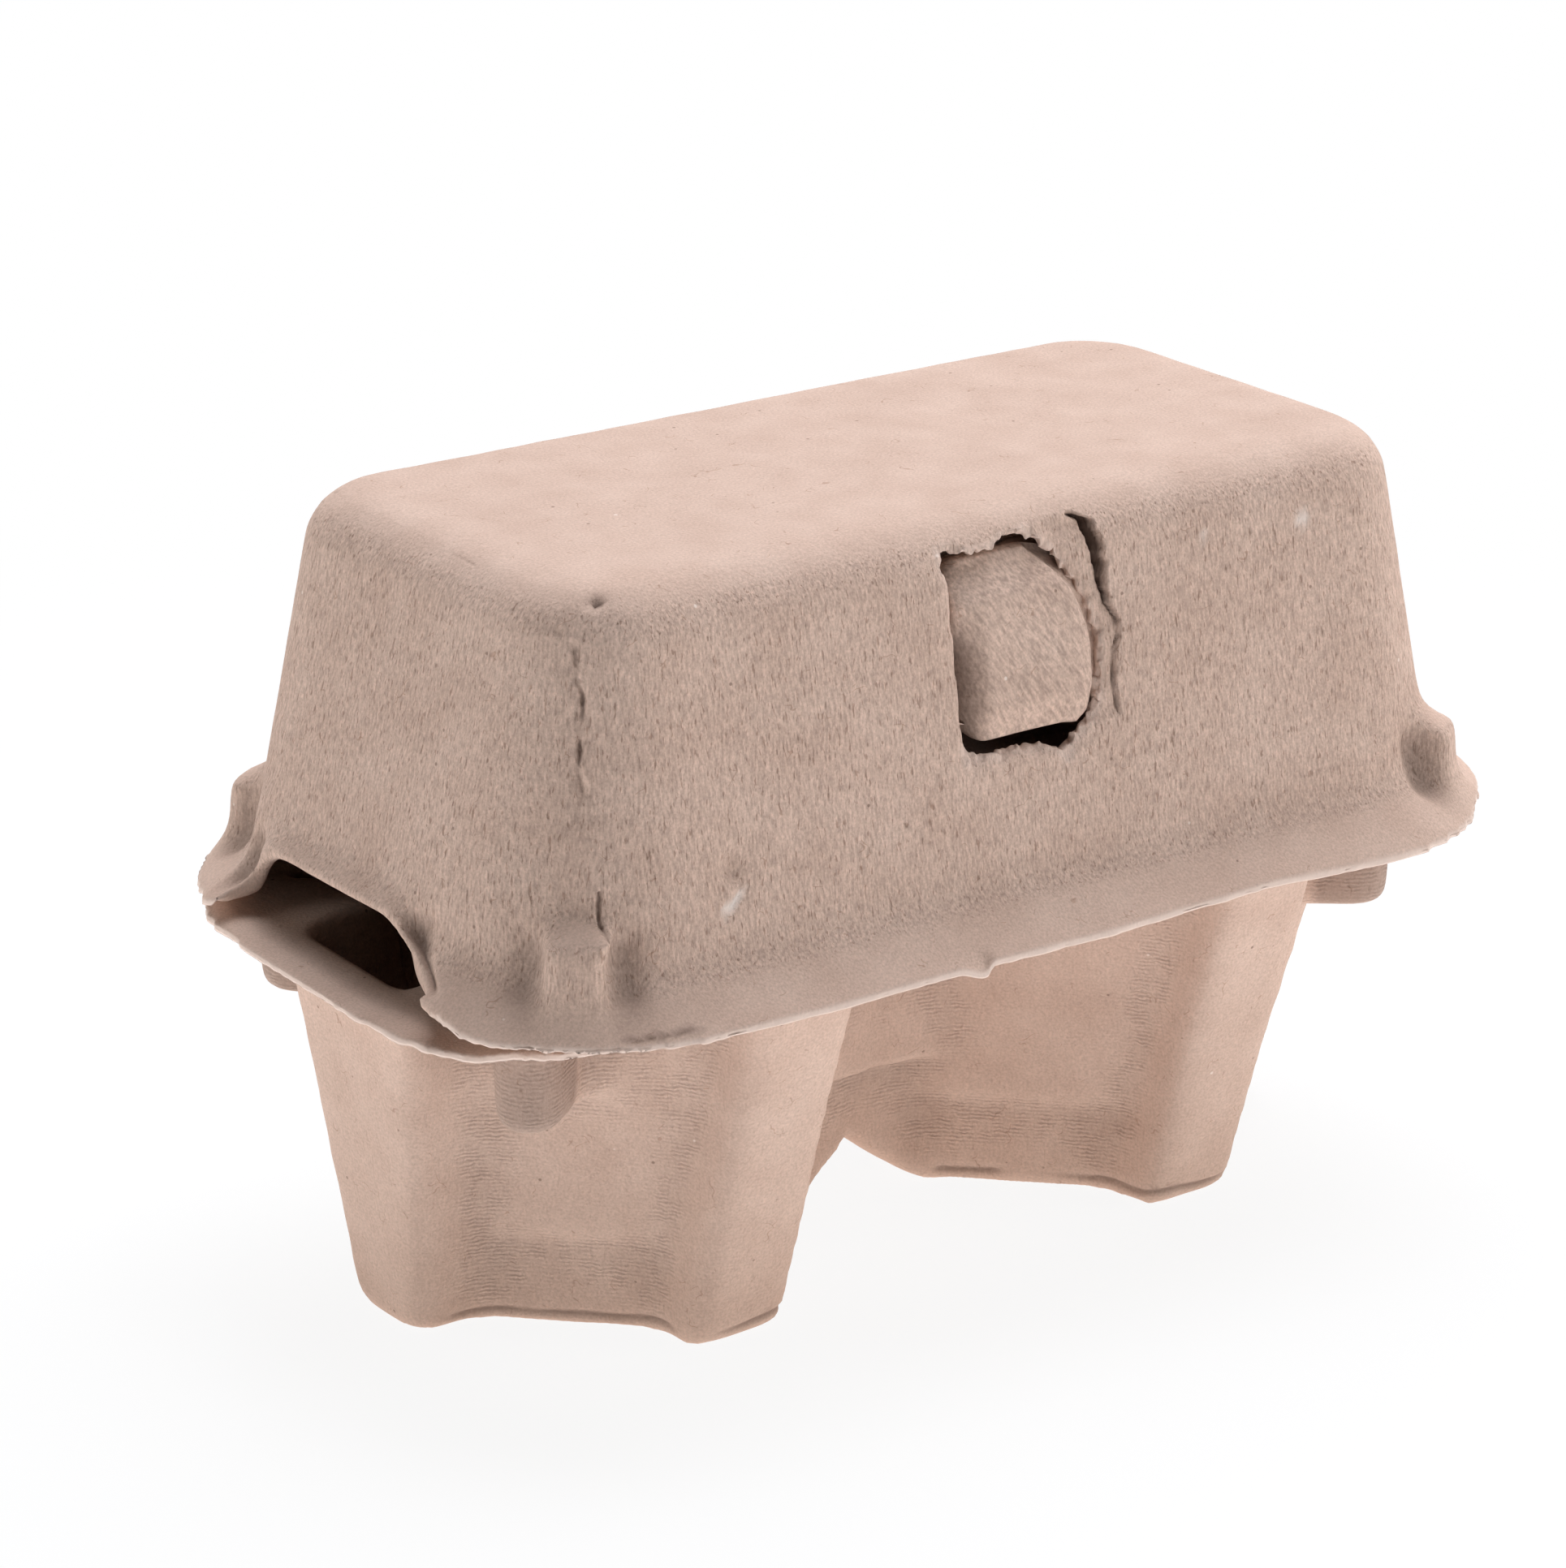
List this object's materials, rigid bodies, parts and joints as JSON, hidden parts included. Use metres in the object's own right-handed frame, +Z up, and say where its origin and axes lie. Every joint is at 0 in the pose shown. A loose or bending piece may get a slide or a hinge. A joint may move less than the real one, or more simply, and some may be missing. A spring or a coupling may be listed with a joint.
{
  "type": "pulp egg box",
  "caption": "Small moulded-pulp egg box: lobed cups joined by a bridge, under a hinged lid with end vents and a window for the tray's locking flap.",
  "frame": {"origin": "under the middle of the closed box, on the plane that its feet stand on", "axes": "+X along the box, -Y out of the front with the locking flap, +Y to the hinge fold, +Z up"},
  "size_m": [0.105, 0.06, 0.065],
  "materials": {
    "pulp": "matte"
  },
  "bodies": {
    "tray": {"tray": "pulp"},
    "lid": {"lid": "pulp"}
  },
  "joints": [
    {"name": "lid_hinge", "type": "hinge", "parent": "tray", "child": "lid", "pos_m": [0, 0.0287, 0.03315], "axis": [-1, 0, 0], "range_deg": [0, 180]}
  ]
}
